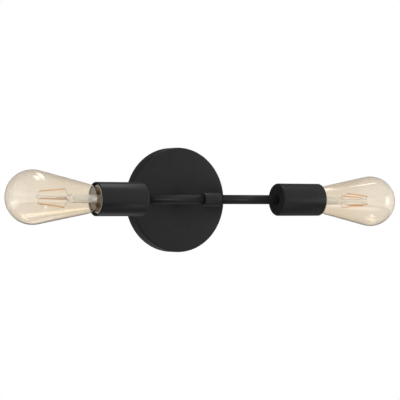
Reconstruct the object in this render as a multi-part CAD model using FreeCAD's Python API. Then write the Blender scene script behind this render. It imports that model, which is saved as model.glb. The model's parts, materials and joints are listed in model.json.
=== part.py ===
import FreeCAD, Part
import math
import os

# Two-light wall sconce: a round canopy on a crossbar, a stub arm to a tee, and a straight bar
# that carries a socket cup and a filament lamp at each end.
# Frame: the wall is the plane Y = 0, the fixture stands in front of it at negative Y, Z is up.
# The origin is the middle of the crossbar's two screw slots, on the wall. Lengths are in millimetres.

V = FreeCAD.Vector

# Fits
screw_clearance = 0.1
seat_clearance = 0.2
lamp_clearance = 0.3
overrun = 1.0

# Canopy
canopy_diameter = 127.0
canopy_depth = 19.0
canopy_wall = 1.2
canopy_edge_radius = 2.0
canopy_screw_height = 9.0

# Crossbar behind the canopy
crossbar_width = 20.0
crossbar_thickness = 2.0
crossbar_bend_radius = 3.0
crossbar_ear_depth = 14.0
crossbar_ear_clearance = 0.5
wall_slot_spacing = 86.0
wall_slot_width = 4.6
wall_slot_length = 16.0
crossbar_centre_hole = 16.0

# Canopy screws
canopy_screw_diameter = 4.0
canopy_screw_reach = 7.5
canopy_screw_head = 8.0
canopy_screw_head_height = 2.2
canopy_screw_head_edge = 0.5

# Bar, stub arm and tee
bar_to_wall = 95.5
tube_diameter = 11.0
tube_bore = 7.0
tube_thread = 10.0
tee_diameter = 15.9
tee_length = 22.0
tee_edge_radius = 0.7
tee_engagement = 5.0
tee_flat_depth = 1.3
stem_engagement = 2.6
half_bar = 91.5

# Nuts and washers on the threaded tube ends
washer_thickness = 1.0
washer_diameter = 22.0
nut_flats = 14.0
nut_thickness = 3.6
thread_showing = 1.6

# Socket cups
cup_diameter = 39.0
cup_length = 60.0
cup_wall = 1.6
cup_floor = 2.2
cup_back_radius = 2.0
cup_mouth_radius = 1.0

# Lamp
lamp_depth = 31.2
lamp_length = 139.5
globe_diameter = 61.5
globe_taper = 11.8
glass_wall = 0.9
taper_end_above_mouth = 15.4
neck_diameter = 26.4
neck_above_rim = 2.0
neck_foot_diameter = 21.6
neck_in_base = 12.0
left_glass_lean = 1.3
right_glass_lean = 1.1
left_filament_turn = -8.5
right_filament_turn = 34.5

# Lamp base and its screw thread
base_height = 27.0
base_root_diameter = 24.7
base_crest_diameter = 26.3
base_wall = 0.5
base_shell_start = 5.4
thread_pitch = 25.4 / 7
thread_turns = 5.0
thread_start = 7.0
thread_root_half_width = 0.95
thread_crest_half_width = 0.4
thread_root_sink = 0.25
cement_wall = 0.55
cement_length = 9.0
insulator_thickness = 1.6
insulator_land_diameter = 9.8
contact_diameter = 9.2
contact_thickness = 1.2
contact_rivet_diameter = 5.2
contact_rivet_length = 2.0
driver_start = 7.6
driver_board = 1.2
capacitor_diameter = 5.6
capacitor_height = 4.6
capacitor_offset = 5.4
rectifier_side = 4.4
rectifier_height = 2.2
rectifier_offset = 5.2

# Glass stem and filaments, as distances beyond the cup's mouth
stem_glass_top = 34.0
stem_glass_diameter = 10.0
stem_glass_wall = 0.9
stem_flare_length = 3.5
stem_flare_radius = 3.0
stem_press_length = 6.0
stem_press_diameter = 8.0
stem_press_radius = 1.0
stem_rod_diameter = 4.4
stem_bead_diameter = 5.0
stem_bead_above_mouth = 70.0
filament_low = 38.4
filament_high = 70.1
filament_low_radius = 10.4
filament_high_radius = 7.0
filament_diameter = 1.5
filament_end_diameter = 1.1
filament_end_length = 2.2
filament_count = 4
support_wire_diameter = 0.6
support_wire_gap = 0.15
support_start_radius = 3.0
lead_wire_diameter = 0.7
lead_wire_offset = 2.0

# Socket
socket_diameter = 32.8
socket_floor_thickness = 7.5
socket_cavity_depth = 30.6
socket_cavity_diameter = 28.9
socket_edge_radius = 0.5
socket_collar_diameter = 30.5
socket_collar_length = 1.7
shell_wall = 0.45
shell_depth = 24.6
shell_root_diameter = 27.4
shell_crest_diameter = 25.5
shell_bottom_opening = 17.2
shell_tab_width = 3.0
shell_tab_inner = 3.8
shell_turns = 4.2
contact_rise = 2.2
contact_strip = 0.4
contact_width = 4.0
contact_foot_length = 3.6
contact_tip_length = 4.0
tail_diameter = 1.6
socket_lead_offset = 5.0
socket_lead_depth = 4.0
bracket_half_width = 13.5
bracket_depth = 16.0
bracket_strip = 1.2
bracket_foot_inner = 5.4
bracket_screw_offset = 8.2
bracket_screw_diameter = 3.0
bracket_screw_head = 5.0
bracket_screw_head_height = 1.6
bracket_screw_reach = 5.0

# Wiring
lead_diameter = 2.2
lead_pair_offset = 1.45
lead_slant = 3.0
lead_slant_radius = 4.4
tee_bend_radius = 6.0
canopy_bend_radius = 5.0
canopy_run_from_wall = 6.5
connector_start = 18.0
connector_length = 22.0
connector_mouth_diameter = 12.0
connector_tip_diameter = 8.0
connector_wall = 2.2
connector_end_wall = 6.0
connector_edge_radius = 1.2

# Earth bonding
lug_thickness = 0.8
stem_lug_diameter = 15.0
screw_lug_diameter = 9.6
ground_screw_diameter = 4.8
ground_screw_head = 9.0
ground_screw_head_height = 3.0
ground_screw_place = 22.0
lug_neck_width = 3.6
lug_neck_length = 4.0
lug_barrel_diameter = 3.2
lug_barrel_length = 5.0
ground_wire_diameter = 1.6
ground_bend_radius = 5.4
ground_loop_place = 42.0

# Places worked out from the sizes above
canopy_radius = canopy_diameter / 2
canopy_inside_radius = canopy_radius - canopy_wall
canopy_floor = canopy_depth - canopy_wall
tube_radius = tube_diameter / 2
thread_radius = tube_thread / 2
thread_hole_radius = thread_radius + screw_clearance
cup_mouth = half_bar + cup_length
lamp_tip = cup_mouth - lamp_depth
lamp_rim = lamp_tip + base_height
lamp_end = lamp_tip + lamp_length
globe_radius = globe_diameter / 2
globe_centre = lamp_end - globe_radius
socket_floor = lamp_tip - lamp_clearance - contact_rise
socket_back = socket_floor - socket_floor_thickness
clamp_height = washer_thickness + bracket_strip + nut_thickness + thread_showing
cup_spigot_end = half_bar + cup_floor + clamp_height
stem_nut_stack = canopy_wall + washer_thickness + lug_thickness + nut_thickness
stem_spigot_end = canopy_depth - stem_nut_stack - thread_showing / 2
lead_radius = lead_diameter / 2
tee_flat = tee_diameter / 2 - tee_flat_depth
# The crossbar's ears stand where their corners just clear the canopy's wall.
ear_corner_reach = math.sqrt(canopy_inside_radius ** 2 - (crossbar_width / 2) ** 2)
ear_face = ear_corner_reach - crossbar_ear_clearance
glass_stem_foot = lamp_rim - neck_in_base
glass_stem_top = cup_mouth + stem_glass_top
glass_stem_bead = cup_mouth + stem_bead_above_mouth


def unit(vector):
    """The vector's direction, one long."""
    return vector * (1 / vector.Length)


def path_edges(points, radii):
    """Straight runs joined by tangent arcs. radii has one value for each point; zero keeps the corner."""
    edges = []
    last = points[0]
    for before, point, after, radius in zip(points, points[1:], points[2:], radii[1:]):
        way_in = unit(point - before)
        way_out = unit(after - point)
        turn = way_in.getAngle(way_out)
        if radius > 0 and turn > 0:
            back = radius * math.tan(turn / 2)
            start = point - way_in * back
            end = point + way_out * back
            inset = radius / math.cos(turn / 2) - radius
            middle = point + unit(way_out - way_in) * inset
            edges.append(Part.LineSegment(last, start).toShape())
            edges.append(Part.Arc(start, middle, end).toShape())
            last = end
        else:
            edges.append(Part.LineSegment(last, point).toShape())
            last = point
    edges.append(Part.LineSegment(last, points[-1]).toShape())
    return edges


def turned(corners):
    """A solid turned about X. corners are (place along X, radius, corner rounding)."""
    points = [V(x, r, 0) for x, r, rounding in corners]
    radii = [rounding for x, r, rounding in corners]
    edges = path_edges(points + [points[0]], radii + [0])
    return Part.Face(Part.Wire(edges)).revolve(V(0, 0, 0), V(1, 0, 0), 360)


def cylinder(radius, start, end, y=0, z=0):
    """A plain round bar along X."""
    return Part.makeCylinder(radius, end - start, V(start, y, z), V(1, 0, 0))


def ring(outer, inner, start, end):
    """A washer or tube along X."""
    return cylinder(outer, start, end).cut(cylinder(inner, start - overrun, end + overrun))


def block(x0, x1, y0, y1, z0, z1):
    """A box between two corners."""
    return Part.makeBox(x1 - x0, y1 - y0, z1 - z0, V(x0, y0, z0))


def hex_nut(flats, bore_radius, start, end):
    """A hexagon nut along X, with its corners taken off at both faces."""
    corner = flats / 2 / math.cos(math.radians(30))
    points = []
    for k in range(7):
        turn = math.radians(60 * k + 30)
        points.append(V(start, corner * math.cos(turn), corner * math.sin(turn)))
    nut = Part.Face(Part.makePolygon(points)).extrude(V(end - start, 0, 0))
    fall = corner - flats / 2
    cone = turned([(start, 0, 0), (start, flats / 2, 0), (start + fall, corner, 0),
                   (end - fall, corner, 0), (end, flats / 2, 0), (end, 0, 0)])
    return nut.common(cone).cut(cylinder(bore_radius, start - overrun, end + overrun))


def tube_along(points, radii, diameter, label):
    """A round tube along straight runs and tangent arcs. It prints the bends and the volume's error."""
    edges = path_edges(points, radii)
    path = Part.Wire(edges)
    section = Part.Wire(Part.Circle(points[0], points[1] - points[0], diameter / 2).toShape())
    solid = path.makePipeShell([section], True, False)
    expected = path.Length * math.pi * diameter ** 2 / 4
    bends = [round(radius, 2) for radius in radii if radius > 0]
    print(label, "bends", bends, "volume ratio", round(solid.Volume / expected, 4))
    return solid


def helical_ridge(root_radius, crest_radius, start, turns):
    """One thread ridge of the lamp screw, wound right-handed about X from start."""
    outward = 1 if crest_radius > root_radius else -1
    sunk = root_radius - outward * thread_root_sink
    corners = [(sunk, -thread_root_half_width), (crest_radius, -thread_crest_half_width),
               (crest_radius, thread_crest_half_width), (sunk, thread_root_half_width)]
    points = [V(radius, 0, height) for radius, height in corners]
    section = Part.makePolygon(points + [points[0]])
    helix = Part.makeHelix(thread_pitch, thread_pitch * turns, root_radius)
    ridge = Part.Wire(helix.Edges).makePipeShell([section], True, True)
    ridge.rotate(V(0, 0, 0), V(0, 1, 0), 90)
    ridge.translate(V(start, 0, 0))
    return ridge


def facing_room(shape):
    """Turns a piece made along X, with the wall at zero, so that it points out of the wall."""
    shape.rotate(V(0, 0, 0), V(0, 0, 1), -90)
    return shape


def on_bar(shape, side):
    """Puts a piece made along X on the bar's axis. The left side is turned half round, not mirrored."""
    if side == "left":
        shape.rotate(V(0, 0, 0), V(0, 0, 1), 180)
    shape.translate(V(0, -bar_to_wall, 0))
    return shape


def leaning(shape, side):
    """The lamp's glass is cemented a little crooked on its base, so it leans about the base's rim."""
    lean = left_glass_lean if side == "left" else right_glass_lean
    sense = -1 if side == "left" else 1
    shape.rotate(V(lamp_rim, 0, 0), V(0, 1, 0), sense * lean)
    return shape


def save(name, shape):
    """Writes one sub-part. Several solids in it stay one file."""
    if not shape.isValid():
        print("invalid", name)
    shape.exportStep("parts/" + name + ".step")
    print(name, "solids", len(shape.Solids), "volume", round(shape.Volume, 2))


def make_canopy():
    edge_inside = max(canopy_edge_radius - canopy_wall, canopy_edge_radius / 2)
    corners = [(0, canopy_radius, 0),
               (canopy_depth, canopy_radius, canopy_edge_radius),
               (canopy_depth, thread_hole_radius, 0),
               (canopy_floor, thread_hole_radius, 0),
               (canopy_floor, canopy_inside_radius, edge_inside),
               (0, canopy_inside_radius, 0)]
    # Starting on the rear rim keeps both rounded corners inside the outline.
    canopy = facing_room(turned(corners))
    hole = canopy_screw_diameter / 2 + seat_clearance
    reach = canopy_radius + overrun
    canopy = canopy.cut(cylinder(hole, -reach, reach, -canopy_screw_height))
    save("canopy", canopy)


def make_crossbar():
    outer = ear_face
    inner = outer - crossbar_thickness
    front = -crossbar_thickness
    tip = -crossbar_ear_depth
    inner_bend = crossbar_bend_radius - crossbar_thickness
    half = crossbar_width / 2
    points = [V(0, 0, -half), V(outer, 0, -half), V(outer, tip, -half), V(inner, tip, -half),
              V(inner, front, -half), V(-inner, front, -half), V(-inner, tip, -half),
              V(-outer, tip, -half), V(-outer, 0, -half), V(0, 0, -half)]
    radii = [0, crossbar_bend_radius, 0, 0, inner_bend, inner_bend, 0, 0, crossbar_bend_radius, 0]
    outline = Part.Wire(path_edges(points, radii))
    bar = Part.Face(outline).extrude(V(0, 0, crossbar_width))
    slot_half = wall_slot_width / 2
    straight = wall_slot_length / 2 - slot_half
    back = overrun
    for side in (-1, 1):
        middle = side * wall_slot_spacing / 2
        slot = block(middle - straight, middle + straight, front - overrun, back, -slot_half, slot_half)
        for end in (-1, 1):
            round_end = Part.makeCylinder(slot_half, crossbar_thickness + 2 * overrun,
                                          V(middle + end * straight, front - overrun, 0), V(0, 1, 0))
            slot = slot.fuse(round_end)
        bar = bar.cut(slot)
    through = crossbar_thickness + 2 * overrun
    centre = Part.makeCylinder(crossbar_centre_hole / 2, through, V(0, front - overrun, 0), V(0, 1, 0))
    earth = Part.makeCylinder(ground_screw_diameter / 2 + screw_clearance, through,
                              V(-ground_screw_place, front - overrun, 0), V(0, 1, 0))
    ear_hole = cylinder(canopy_screw_diameter / 2 + screw_clearance, -outer - overrun, outer + overrun,
                        -canopy_screw_height)
    save("crossbar", bar.cut(centre).cut(earth).cut(ear_hole).removeSplitter())


def make_canopy_screws():
    seat = canopy_radius + screw_clearance
    head_end = seat + canopy_screw_head_height
    head = canopy_screw_head / 2
    edge = canopy_screw_head_edge
    shank = canopy_screw_diameter / 2
    screws = []
    for side in (0, 180):
        screw = turned([(seat - canopy_screw_reach, 0, 0), (seat - canopy_screw_reach, shank, 0),
                        (seat, shank, 0), (seat, head, edge), (head_end, head, edge), (head_end, 0, 0)])
        screw.rotate(V(0, 0, 0), V(0, 0, 1), side)
        screw.translate(V(0, -canopy_screw_height, 0))
        screws.append(screw)
    save("canopy_screws", Part.makeCompound(screws))


def make_tee():
    half = tee_length / 2
    radius = tee_diameter / 2
    tee = turned([(-half, 0, 0), (-half, radius, tee_edge_radius), (half, radius, tee_edge_radius),
                  (half, 0, 0)])
    tee = tee.cut(cylinder(thread_hole_radius, -half - overrun, half + overrun))
    seat = Part.makeCylinder(tube_radius + seat_clearance, tee_flat_depth + overrun,
                             V(0, tee_flat, 0), V(0, 1, 0))
    bore = Part.makeCylinder(thread_hole_radius, tee_flat + overrun, V(0, 0, 0), V(0, 1, 0))
    tee = tee.cut(seat).cut(bore)
    tee.translate(V(0, -bar_to_wall, 0))
    save("tee", tee)


def threaded_tube(start, end, start_spigot, end_spigot):
    """A tube along X whose ends are turned down and threaded, with a wire way right through."""
    bore = tube_bore / 2
    return turned([(start - start_spigot, bore, 0), (start - start_spigot, thread_radius, 0),
                   (start, thread_radius, 0), (start, tube_radius, 0), (end, tube_radius, 0),
                   (end, thread_radius, 0), (end + end_spigot, thread_radius, 0),
                   (end + end_spigot, bore, 0)])


def make_stem():
    near_wall = canopy_depth
    at_tee = bar_to_wall - tee_flat
    stem = threaded_tube(near_wall, at_tee, near_wall - stem_spigot_end, stem_engagement)
    save("stem", facing_room(stem))
    washer_start = canopy_floor - washer_thickness
    washer = ring(washer_diameter / 2, thread_hole_radius, washer_start, canopy_floor)
    save("stem_washer", facing_room(washer))
    nut_end = washer_start - lug_thickness
    nut = hex_nut(nut_flats, thread_hole_radius, nut_end - nut_thickness, nut_end)
    save("stem_nut", facing_room(nut))


def make_rod(side):
    rod = threaded_tube(tee_length / 2, half_bar, tee_engagement, cup_spigot_end - half_bar)
    save(side + "_rod", on_bar(rod, side))


def make_cup(side):
    outer = cup_diameter / 2
    inner = outer - cup_wall
    floor = half_bar + cup_floor
    inside_radius = max(cup_back_radius - cup_wall, cup_back_radius / 2)
    lip = min(cup_mouth_radius, cup_wall / 2)
    cup = turned([(floor, thread_hole_radius, 0),
                  (half_bar, thread_hole_radius, 0),
                  (half_bar, outer, cup_back_radius),
                  (cup_mouth, outer, cup_mouth_radius),
                  (cup_mouth, inner, lip / 2),
                  (floor, inner, inside_radius)])
    save(side + "_cup", on_bar(cup, side))


def make_cup_fasteners(side):
    washer_end = half_bar + cup_floor + washer_thickness
    washer = ring(washer_diameter / 2, thread_hole_radius, half_bar + cup_floor, washer_end)
    save(side + "_cup_washer", on_bar(washer, side))
    nut_start = washer_end + bracket_strip
    nut = hex_nut(nut_flats, thread_hole_radius, nut_start, nut_start + nut_thickness)
    save(side + "_cup_nut", on_bar(nut, side))


def make_socket_bracket(side):
    """A bent strip: its middle is clamped by the nut, and its feet carry the socket body."""
    base = half_bar + cup_floor + washer_thickness
    outer = bracket_half_width
    inner = outer - bracket_strip
    foot = bracket_foot_inner
    half = bracket_depth / 2
    bend = 2 * bracket_strip
    inner_bend = bend - bracket_strip
    path = [(base, 0, 0), (base, outer, bend), (socket_back, outer, bend), (socket_back, foot, 0),
            (socket_back - bracket_strip, foot, 0), (socket_back - bracket_strip, inner, inner_bend),
            (base + bracket_strip, inner, inner_bend), (base + bracket_strip, 0, 0)]
    points = [V(x, y, -half) for x, y, rounding in path]
    radii = [rounding for x, y, rounding in path]
    outline = Part.Wire(path_edges(points + [points[0]], radii + [0]))
    arm = Part.Face(outline).extrude(V(0, 0, bracket_depth))
    other = arm.mirror(V(0, 0, 0), V(0, 1, 0))
    strip = arm.fuse(other).removeSplitter()
    strip = strip.cut(cylinder(thread_hole_radius, base - overrun, base + bracket_strip + overrun))
    hole = bracket_screw_diameter / 2 + screw_clearance
    foot_back = socket_back - bracket_strip
    screws = []
    for way in (-1, 1):
        y = way * bracket_screw_offset
        strip = strip.cut(cylinder(hole, foot_back - overrun, socket_back + overrun, y))
        head = cylinder(bracket_screw_head / 2, foot_back - bracket_screw_head_height, foot_back, y)
        shank = cylinder(bracket_screw_diameter / 2, foot_back, socket_back + bracket_screw_reach, y)
        screws.append(head.fuse(shank).removeSplitter())
    save(side + "_socket_bracket", on_bar(strip, side))
    save(side + "_bracket_screws", on_bar(Part.makeCompound(screws), side))


def make_socket_body(side):
    """A porcelain cup with a thin collar on its front, which the lamp's neck comes through."""
    outer = socket_diameter / 2
    cavity = socket_cavity_diameter / 2
    collar = socket_collar_diameter / 2
    shoulder = socket_floor + socket_cavity_depth
    front = shoulder + socket_collar_length
    edge = min(socket_edge_radius, (outer - collar) / 3)
    lip = min(socket_edge_radius, (collar - cavity) / 3)
    body = turned([(socket_back, 0, 0), (socket_back, outer, edge), (shoulder, outer, edge),
                   (shoulder, collar, 0), (front, collar, lip), (front, cavity, lip),
                   (socket_floor, cavity, 0), (socket_floor, 0, 0)])
    lead_hole = lead_radius + seat_clearance
    for z in (-socket_lead_offset, socket_lead_offset):
        body = body.cut(cylinder(lead_hole, socket_back - overrun, socket_floor + overrun, 0, z))
    screw_hole = bracket_screw_diameter / 2 + screw_clearance
    depth = min(bracket_screw_reach + seat_clearance, socket_floor_thickness)
    for y in (-bracket_screw_offset, bracket_screw_offset):
        body = body.cut(cylinder(screw_hole, socket_back - overrun, socket_back + depth, y))
    save(side + "_socket_body", on_bar(body, side))


def tail(z):
    """The pin that carries a contact back through the socket's floor to the end of its lead."""
    end = socket_back + socket_lead_depth + screw_clearance
    return cylinder(tail_diameter / 2, end, socket_floor + contact_strip / 2, 0, z)


def make_screw_shell(side):
    root = shell_root_diameter / 2
    outer = root + shell_wall
    front = socket_floor + shell_depth
    opening = shell_bottom_opening / 2
    shell = turned([(socket_floor, opening, 0), (socket_floor, outer, 0), (front, outer, 0),
                    (front, root, 0), (socket_floor + shell_wall, root, 0),
                    (socket_floor + shell_wall, opening, 0)])
    # Half a pitch after the lamp's ridge, so that the two threads lie between each other.
    start = lamp_tip + thread_start + thread_pitch / 2 - thread_pitch
    shell = shell.fuse(helical_ridge(root, shell_crest_diameter / 2, start, shell_turns))
    half = shell_tab_width / 2
    tab_outer = opening + shell_wall
    tab = block(socket_floor, socket_floor + shell_wall, -half, half, -tab_outer, -shell_tab_inner)
    shell = shell.fuse(tab).fuse(tail(-socket_lead_offset))
    save(side + "_screw_shell", on_bar(shell, side))


def make_centre_contact(side):
    """A springy tongue: its foot lies on the socket's floor and its tip rises to meet the lamp."""
    low = socket_floor
    high = socket_floor + contact_rise
    strip = contact_strip
    foot_outer = socket_lead_offset + contact_foot_length / 2
    foot_inner = socket_lead_offset - contact_foot_length / 2
    tip_outer = contact_tip_length / 2
    shape = [(low, foot_outer), (low, foot_inner), (high - strip, tip_outer), (high - strip, -tip_outer),
             (high, -tip_outer), (high, tip_outer + strip), (low + strip, foot_inner + strip),
             (low + strip, foot_outer)]
    points = [V(x, -contact_width / 2, z) for x, z in shape]
    tongue = Part.Face(Part.makePolygon(points + [points[0]])).extrude(V(0, contact_width, 0))
    save(side + "_centre_contact", on_bar(tongue.fuse(tail(socket_lead_offset)), side))


def make_lamp_base(side):
    root = base_root_diameter / 2
    inner = root - base_wall
    start = lamp_tip + base_shell_start
    lip = base_wall
    shell = turned([(start, inner, 0), (start + lip, root, 0), (lamp_rim, root, 0), (lamp_rim, inner, 0)])
    ridge = helical_ridge(root, base_crest_diameter / 2, lamp_tip + thread_start, thread_turns)
    bore = cylinder(inner, start - overrun, lamp_rim + overrun)
    save(side + "_lamp_base", on_bar(shell.fuse(ridge).cut(bore), side))


def make_lamp_insulator(side):
    """Black glass between the lamp's screw shell and its centre contact."""
    start = lamp_tip + contact_thickness
    wide = base_root_diameter / 2 - base_wall - screw_clearance
    land = insulator_land_diameter / 2
    hole = contact_rivet_diameter / 2 + lamp_clearance
    top = lamp_tip + base_shell_start + insulator_thickness
    body = turned([(start, hole, 0), (start, land, 0), (lamp_tip + base_shell_start, wide, 0),
                   (top, wide, 0), (top, wide - insulator_thickness, 0),
                   (start + insulator_thickness, land, 0), (start + insulator_thickness, hole, 0)])
    save(side + "_lamp_insulator", on_bar(body, side))


def make_lamp_contact(side):
    """The button under the lamp: a flat dome and its rivet."""
    radius = contact_diameter / 2
    seat = lamp_tip + contact_thickness
    rivet = contact_rivet_diameter / 2
    button = turned([(lamp_tip, 0, 0), (lamp_tip, radius, contact_thickness / 2), (seat, radius, 0),
                     (seat, rivet, 0), (seat + contact_rivet_length, rivet, 0),
                     (seat + contact_rivet_length, 0, 0)])
    save(side + "_lamp_contact", on_bar(button, side))


def make_lamp_cement(side):
    outer = base_root_diameter / 2 - base_wall - screw_clearance
    end = lamp_rim - base_wall
    save(side + "_lamp_cement", on_bar(ring(outer, outer - cement_wall, end - cement_length, end), side))


def make_lamp_driver(side):
    """A round board across the base, with a capacitor and a rectifier on it."""
    start = lamp_tip + driver_start
    top = start + driver_board
    radius = base_root_diameter / 2 - base_wall - seat_clearance
    board = cylinder(radius, start, top)
    capacitor = cylinder(capacitor_diameter / 2, top - screw_clearance, top + capacitor_height,
                         capacitor_offset)
    half = rectifier_side / 2
    rectifier = block(top - screw_clearance, top + rectifier_height, -rectifier_offset - half,
                      -rectifier_offset + half, -half, half)
    save(side + "_lamp_driver", on_bar(board.fuse([capacitor, rectifier]).removeSplitter(), side))


def tangent_arc(start, way, end):
    """An arc from start, leaving along way, to end, in the XY plane."""
    chord = end - start
    normal = V(-way.y, way.x, 0)
    radius = chord.Length ** 2 / (2 * normal.dot(chord))
    centre = start + normal * radius
    middle = (start + end) * 0.5
    out = unit(middle - centre)
    return Part.Arc(start, centre + out * abs(radius), end).toShape()


def globe_outline(inset):
    """Half outline of the glass from its crown down to its foot: sphere, straight taper, neck and foot."""
    angle = math.radians(globe_taper)
    radius = globe_radius - inset
    slope = V(math.cos(angle), math.sin(angle), 0)
    crown = V(globe_centre + radius, 0, 0)
    shoulder = V(globe_centre - radius * math.sin(angle), radius * math.cos(angle), 0)
    half_way = (math.pi / 2 + angle) / 2
    side_point = V(globe_centre + radius * math.cos(half_way), radius * math.sin(half_way), 0)
    run = (shoulder.x - cup_mouth - taper_end_above_mouth) / slope.x
    taper_end = shoulder - slope * run
    neck = V(lamp_rim + neck_above_rim, neck_diameter / 2 - inset, 0)
    foot_radius = neck_foot_diameter / 2 - inset
    foot_top = V(lamp_rim, foot_radius, 0)
    foot_end = V(lamp_rim - neck_in_base, foot_radius, 0)
    return [Part.Arc(crown, side_point, shoulder).toShape(),
            Part.LineSegment(shoulder, taper_end).toShape(),
            tangent_arc(taper_end, slope * -1, neck),
            Part.LineSegment(neck, foot_top).toShape(),
            Part.LineSegment(foot_top, foot_end).toShape()], crown, foot_end


def make_lamp_glass(side):
    outer, outer_crown, outer_foot = globe_outline(0)
    inner, inner_crown, inner_foot = globe_outline(glass_wall)
    ends = [Part.LineSegment(outer_foot, inner_foot).toShape(),
            Part.LineSegment(inner_crown, outer_crown).toShape()]
    outline = Part.Wire(Part.__sortEdges__(outer + inner + ends))
    glass = Part.Face(outline).revolve(V(0, 0, 0), V(1, 0, 0), 360)
    save(side + "_lamp_glass", on_bar(leaning(glass, side), side))


def make_lamp_stem(side):
    """A flared glass tube, pinched solid at its top round a thinner tube that ends in a bead."""
    foot = glass_stem_foot
    top = glass_stem_top
    wall = stem_glass_wall
    flare = neck_foot_diameter / 2 - glass_wall - lamp_clearance
    tube = stem_glass_diameter / 2
    bore = tube - wall
    bend = foot + stem_flare_length
    stem = turned([(foot, flare - wall, 0), (foot, flare, 0), (foot + wall, flare, 0),
                   (bend, tube, stem_flare_radius), (top - stem_press_length, tube, stem_press_radius),
                   (top, stem_press_diameter / 2, stem_press_radius), (top, 0, 0),
                   (top - stem_press_length, 0, 0), (top - stem_press_length, bore, stem_press_radius),
                   (bend - wall, bore, stem_flare_radius)])
    rod = cylinder(stem_rod_diameter / 2, top - stem_press_radius, glass_stem_bead)
    ball = Part.makeSphere(stem_bead_diameter / 2, V(glass_stem_bead, 0, 0))
    save(side + "_lamp_stem", on_bar(leaning(stem.fuse([rod, ball]).removeSplitter(), side), side))


def around(make, turn):
    """Copies of what make gives for each filament, spaced evenly about X."""
    pieces = []
    for k in range(filament_count):
        for piece in make():
            piece.rotate(V(0, 0, 0), V(1, 0, 0), turn + 360 * k / filament_count)
            pieces.append(piece)
    return Part.makeCompound(pieces)


def bar_between(start, end, diameter):
    """A round bar from one point to another."""
    way = end - start
    return Part.makeCylinder(diameter / 2, way.Length, start, way)


def filament_line():
    """Both ends of a filament with its metal ends, and the direction from low to high."""
    low = V(cup_mouth + filament_low, 0, filament_low_radius)
    high = V(cup_mouth + filament_high, 0, filament_high_radius)
    return low, high, unit(high - low)


def make_filament():
    low, high, way = filament_line()
    start = low + way * filament_end_length
    end = high - way * filament_end_length
    return [bar_between(start, end, filament_diameter)]


def make_filament_ends():
    low, high, way = filament_line()
    return [bar_between(low, low + way * filament_end_length, filament_end_diameter),
            bar_between(high - way * filament_end_length, high, filament_end_diameter)]


def make_support_wires():
    """One wire from the stem's press out to the filament, and one from the bead."""
    low, high, way = filament_line()
    press = V(glass_stem_top + support_wire_diameter, 0, support_start_radius)
    low_end = low - unit(low - press) * (filament_end_diameter / 2 + support_wire_gap)
    centre = V(glass_stem_bead, 0, 0)
    out = unit(high - centre)
    bead_start = centre + out * (stem_bead_diameter / 2 + support_wire_gap)
    high_end = high - out * (filament_end_diameter / 2 + support_wire_gap)
    return [bar_between(press, low_end, support_wire_diameter),
            bar_between(bead_start, high_end, support_wire_diameter)]


def make_lamp_light(side):
    turn = left_filament_turn if side == "left" else right_filament_turn
    for name, make in (("filaments", make_filament), ("filament_ends", make_filament_ends),
                       ("support_wires", make_support_wires)):
        save(side + "_lamp_" + name, on_bar(leaning(around(make, turn), side), side))
    start = lamp_tip + driver_start + driver_board + seat_clearance
    end = glass_stem_top - stem_press_length - seat_clearance
    wires = []
    for z in (-lead_wire_offset, lead_wire_offset):
        wires.append(cylinder(lead_wire_diameter / 2, start, end, 0, z))
    save(side + "_lamp_lead_wires", on_bar(leaning(Part.makeCompound(wires), side), side))


def make_lead(side, name, level):
    """A socket lead: from the socket along the rod, through the tee and the arm, up or down the canopy."""
    way = -1 if side == "left" else 1
    bar = -bar_to_wall
    near = level * lead_pair_offset
    far = level * socket_lead_offset
    middle = (cup_spigot_end + socket_back) / 2
    end = level * (connector_start + connector_length - connector_end_wall - seat_clearance)
    points = [V(way * (socket_back + socket_lead_depth), bar, far),
              V(way * (middle + lead_slant / 2), bar, far),
              V(way * (middle - lead_slant / 2), bar, near),
              V(way * lead_pair_offset, bar, near),
              V(way * lead_pair_offset, -canopy_run_from_wall, near),
              V(way * lead_pair_offset, -canopy_run_from_wall, end)]
    radii = [0, lead_slant_radius, lead_slant_radius, tee_bend_radius, canopy_bend_radius, 0]
    save(side + "_" + name, tube_along(points, radii, lead_diameter, side + "_" + name))


def make_wire_connectors():
    """Screwed-on caps that join the two line leads and the two neutral leads."""
    mouth = connector_mouth_diameter / 2
    tip = connector_tip_diameter / 2
    end = connector_start + connector_length
    edge = connector_edge_radius
    cap = turned([(connector_start, mouth - connector_wall, 0), (connector_start, mouth, edge / 2),
                  (end, tip, edge), (end, 0, 0), (end - connector_end_wall, 0, 0),
                  (end - connector_end_wall, mouth - connector_wall, 0)])
    caps = []
    for turn in (-90, 90):
        piece = cap.copy()
        piece.rotate(V(0, 0, 0), V(0, 1, 0), turn)
        piece.translate(V(0, -canopy_run_from_wall, 0))
        caps.append(piece)
    save("wire_connectors", Part.makeCompound(caps))


def ring_lug(diameter, hole_radius, x, front):
    """A ring terminal lying in a plane of constant Y, its barrel pointing towards negative X."""
    back = front + lug_thickness
    middle = V(x, front, 0)
    plate = Part.makeCylinder(diameter / 2, lug_thickness, middle, V(0, 1, 0))
    neck_end = x - diameter / 2 - lug_neck_length
    half = lug_neck_width / 2
    neck = block(neck_end, x, front, back, -half, half)
    hole = Part.makeCylinder(hole_radius, lug_thickness + 2 * overrun, middle - V(0, overrun, 0),
                             V(0, 1, 0))
    barrel_axis = barrel_place(front)
    barrel = cylinder(lug_barrel_diameter / 2, neck_end - lug_barrel_length, neck_end, barrel_axis)
    step = block(neck_end - overrun, neck_end, barrel_axis, back, -half / 2, half / 2)
    bore = cylinder(ground_wire_diameter / 2 + screw_clearance, neck_end - lug_barrel_length - overrun,
                    neck_end - overrun, barrel_axis)
    return plate.fuse([neck, barrel, step]).cut(hole).cut(bore).removeSplitter(), neck_end


def barrel_place(front):
    """Height of a lug's barrel: its far side is flush with the lug's face towards the wall."""
    return front + lug_thickness - lug_barrel_diameter / 2


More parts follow.
